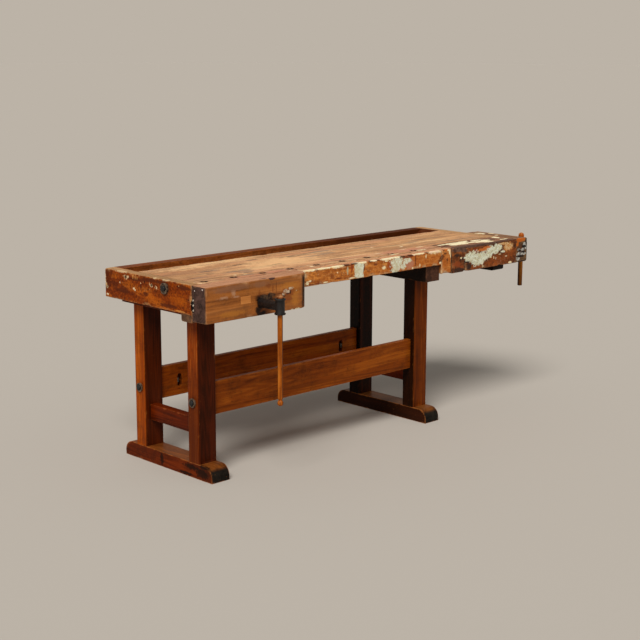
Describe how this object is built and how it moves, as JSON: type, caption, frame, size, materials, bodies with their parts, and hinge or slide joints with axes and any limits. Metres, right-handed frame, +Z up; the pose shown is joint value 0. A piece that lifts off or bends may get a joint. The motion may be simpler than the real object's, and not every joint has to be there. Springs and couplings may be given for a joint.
{
  "type": "carpenters workbench",
  "caption": "Old joiner's workbench with two trestles, tool tray, dog holes, a front vise and a sliding tail vise, both worked by screws with wooden handles.",
  "frame": {"origin": "centre of the bounding box on the floor, vises closed and handles hanging", "axes": "+X along the bench from the front vise's end to the tail vise's end, +Y from the front to the rear, +Z up"},
  "size_m": [2.2014, 0.8134, 0.8283],
  "materials": {
    "top_wood": "worn pale planed top with stains",
    "edge_wood": "orange-brown shellac with paint remains",
    "cap_wood": "orange-brown shellac, speckled",
    "tray_wood": "dark red-brown",
    "frame_wood": "red-brown shellac",
    "stretcher_wood": "red-brown shellac",
    "chop_wood": "warm brown, worn",
    "vise_wood": "dark brown with paint remains",
    "handle_wood": "turned and polished by use",
    "black_iron": "blackened iron",
    "dark_steel": "darkened steel"
  },
  "bodies": {
    "root": {"bearer_left": "frame_wood", "bearer_right": "frame_wood", "cross_rail_left": "frame_wood", "cross_rail_right": "frame_wood", "dog_hole_strip": "top_wood", "end_cap_bolts": "dark_steel", "end_cap_left": "cap_wood", "end_cap_nuts": "dark_steel", "end_cap_right": "cap_wood", "end_cap_washers": "dark_steel", "foot_left": "frame_wood", "foot_right": "frame_wood", "front_edge_board": "edge_wood", "front_nut_screws": "dark_steel", "front_vise_inner_jaw": "chop_wood", "front_vise_nut": "black_iron", "inner_jaw_screws": "dark_steel", "locating_pegs": "handle_wood", "post_front_left": "frame_wood", "post_front_right": "frame_wood", "post_rear_left": "frame_wood", "post_rear_right": "frame_wood", "rear_rail": "tray_wood", "stretcher_bolts": "dark_steel", "stretcher_front": "stretcher_wood", "stretcher_nuts": "dark_steel", "stretcher_rear": "stretcher_wood", "stretcher_washers": "dark_steel", "support_bar_screws": "dark_steel", "tail_fixed_jaw": "edge_wood", "tail_guide_strip": "vise_wood", "tail_nut_screws": "dark_steel", "tail_support_bar": "vise_wood", "tail_vise_nut": "black_iron", "tray_floor": "tray_wood", "tray_ramp_left": "tray_wood", "tray_ramp_right": "tray_wood", "worktop_slab": "top_wood"},
    "front_vise": {"front_vise_chop": "chop_wood", "chop_inlay": "chop_wood", "front_guide_plate": "black_iron", "guide_plate_screws": "dark_steel", "front_guide_bars": "dark_steel"},
    "front_screw": {"front_vise_screw": "black_iron", "front_screw_collar": "dark_steel", "front_collar_pin": "dark_steel"},
    "front_handle": {"front_vise_handle": "handle_wood", "front_handle_cap": "handle_wood"},
    "tail_vise": {"tail_vise_jaw": "vise_wood", "tail_vise_cheek": "vise_wood", "tail_vise_cover": "vise_wood", "tail_cross_piece": "vise_wood", "tail_guide_bar": "dark_steel"},
    "tail_screw": {"tail_vise_screw": "black_iron", "tail_screw_collar": "dark_steel", "tail_collar_pin": "dark_steel"},
    "tail_handle": {"tail_vise_handle": "handle_wood", "tail_handle_cap": "handle_wood"}
  },
  "joints": [
    {"name": "front_vise_slide", "type": "slide", "parent": "root", "child": "front_vise", "axis": [0, -1, 0], "range_m": [0, 0.18]},
    {"name": "front_screw_turn", "type": "hinge", "parent": "front_vise", "child": "front_screw", "pos_m": [-0.80075, -0.26865, 0.725], "axis": [0, -1, 0], "range_deg": [0, 10800]},
    {"name": "front_handle_slide", "type": "slide", "parent": "front_screw", "child": "front_handle", "axis": [0, 0, 1], "range_m": [0, 0.35]},
    {"name": "tail_vise_slide", "type": "slide", "parent": "root", "child": "tail_vise", "axis": [1, 0, 0], "range_m": [0, 0.18]},
    {"name": "tail_screw_turn", "type": "hinge", "parent": "tail_vise", "child": "tail_screw", "pos_m": [1.00775, -0.14135, 0.762], "axis": [1, 0, 0], "range_deg": [0, 10800]},
    {"name": "tail_handle_slide", "type": "slide", "parent": "tail_screw", "child": "tail_handle", "axis": [0, 0, 1], "range_m": [0, 0.15]}
  ],
  "couplings": [
    {"joint": "front_screw_turn", "follows": "front_vise_slide", "rad_per_m": 1047.2},
    {"joint": "tail_screw_turn", "follows": "tail_vise_slide", "rad_per_m": 1047.2}
  ]
}
